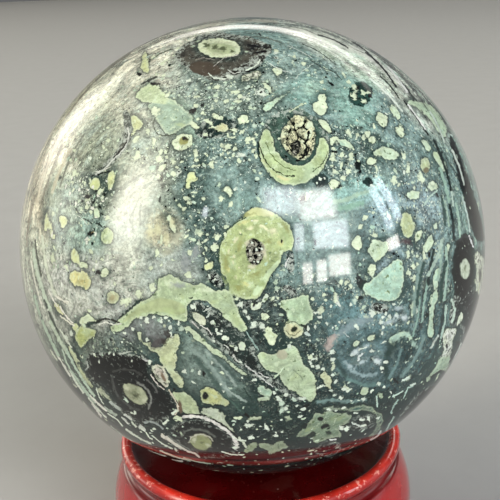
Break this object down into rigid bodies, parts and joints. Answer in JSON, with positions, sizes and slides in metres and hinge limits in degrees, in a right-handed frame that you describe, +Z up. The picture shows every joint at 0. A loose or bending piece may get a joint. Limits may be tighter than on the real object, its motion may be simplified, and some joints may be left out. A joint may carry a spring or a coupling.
{
  "type": "jasper sphere on a stand",
  "caption": "Polished green orbicular jasper sphere resting in the dish of a turned, red-lacquered wooden stand.",
  "frame": {"origin": "centre of the stand's underside, on the surface it stands on", "axes": "+Z up through the sphere's centre, -Y towards the side with the large yellow-green orb, +X to that side's right"},
  "size_m": [0.0758, 0.0758, 0.0954],
  "materials": {
    "jasper": "polished dark green stone with yellow-green orbs, black eyes, mint patches and fine cream specks",
    "red_lacquered_wood": "thick glossy red lacquer over turned wood"
  },
  "bodies": {
    "root": {"jasper_sphere": "jasper", "stand": "red_lacquered_wood"}
  },
  "joints": []
}
